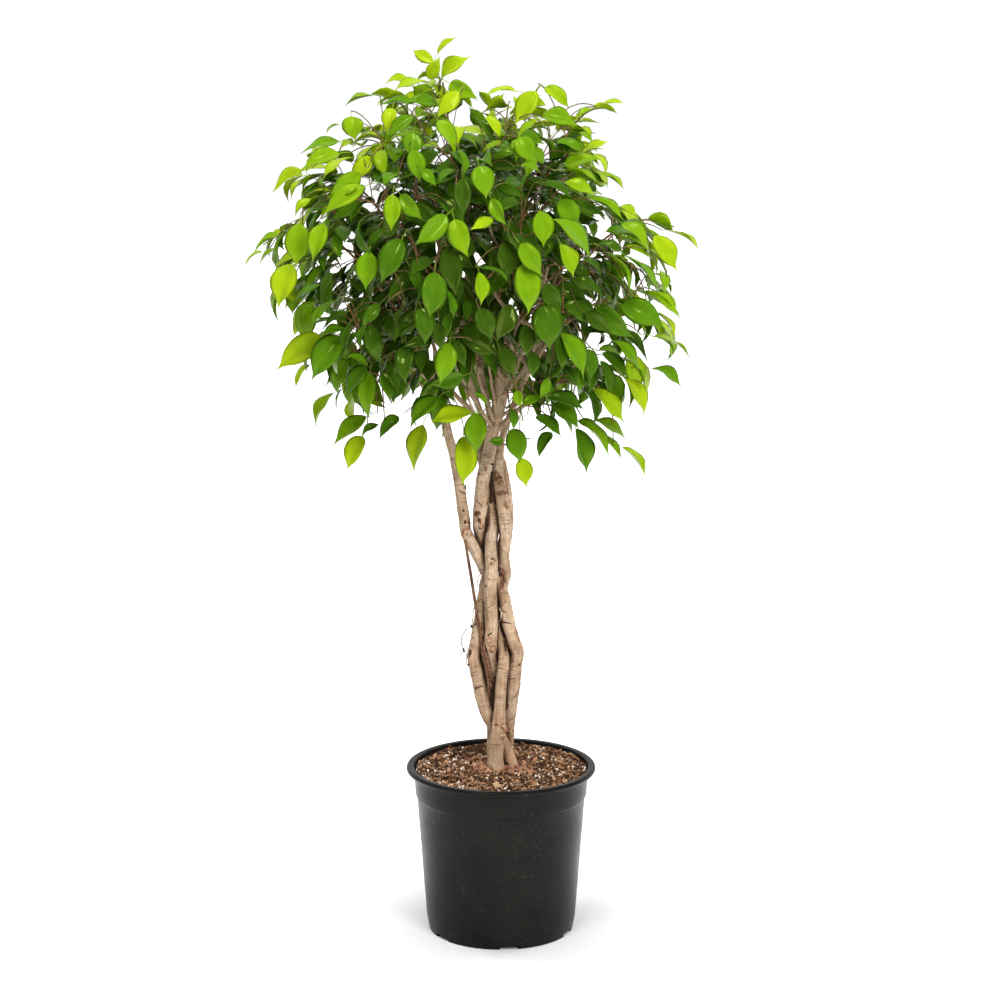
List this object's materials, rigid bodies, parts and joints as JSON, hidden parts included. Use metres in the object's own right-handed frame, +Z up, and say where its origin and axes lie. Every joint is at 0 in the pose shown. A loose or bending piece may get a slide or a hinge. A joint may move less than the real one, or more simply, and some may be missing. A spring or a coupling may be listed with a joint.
{
  "type": "potted weeping fig",
  "caption": "Weeping fig standard with a plaited multi-stem trunk and a round drooping crown, growing in a black tapered nursery pot.",
  "frame": {"origin": "The centre of the pad under the pot's base, on the pot's axis, at the surface that the pot stands on.", "axes": "+Z is up along the pot's axis and the trunk, which is the object's longest extent. The plant's front, where the plait shows best and the thin left-hand stem leaves the trunk on the viewer's left, faces -Y."},
  "size_m": [0.5501, 0.4866, 1.1173],
  "materials": {
    "black_plastic": "satin",
    "potting_mix": "matte",
    "fig_bark": "matte",
    "root_bark": "matte",
    "fig_leaf": "gloss"
  },
  "bodies": {
    "root": {"aerial_root": "root_bark", "leafy_shoot_01": "fig_leaf", "leafy_shoot_02": "fig_leaf", "leafy_shoot_03": "fig_leaf", "leafy_shoot_04": "fig_leaf", "leafy_shoot_05": "fig_leaf", "leafy_shoot_06": "fig_leaf", "leafy_shoot_07": "fig_leaf", "leafy_shoot_08": "fig_leaf", "leafy_shoot_09": "fig_leaf", "leafy_shoot_10": "fig_leaf", "leafy_shoot_11": "fig_leaf", "leafy_shoot_12": "fig_leaf", "leafy_shoot_13": "fig_leaf", "leafy_shoot_14": "fig_leaf", "leafy_shoot_15": "fig_leaf", "leafy_shoot_16": "fig_leaf", "leafy_shoot_17": "fig_leaf", "leafy_shoot_18": "fig_leaf", "leafy_shoot_19": "fig_leaf", "leafy_shoot_20": "fig_leaf", "leafy_shoot_21": "fig_leaf", "leafy_shoot_22": "fig_leaf", "leafy_shoot_23": "fig_leaf", "leafy_shoot_24": "fig_leaf", "leafy_shoot_25": "fig_leaf", "leafy_shoot_26": "fig_leaf", "leafy_shoot_27": "fig_leaf", "leafy_shoot_28": "fig_leaf", "leafy_shoot_29": "fig_leaf", "leafy_shoot_30": "fig_leaf", "leafy_shoot_31": "fig_leaf", "leafy_shoot_32": "fig_leaf", "leafy_shoot_33": "fig_leaf", "leafy_shoot_34": "fig_leaf", "leafy_shoot_35": "fig_leaf", "leafy_shoot_36": "fig_leaf", "leafy_shoot_37": "fig_leaf", "leafy_shoot_38": "fig_leaf", "leafy_shoot_39": "fig_leaf", "leafy_shoot_40": "fig_leaf", "leafy_shoot_41": "fig_leaf", "pot": "black_plastic", "potting_mix": "potting_mix", "stem_back": "fig_bark", "stem_centre": "fig_bark", "stem_front": "fig_bark", "stem_left": "fig_bark", "stem_right": "fig_bark"}
  },
  "joints": []
}
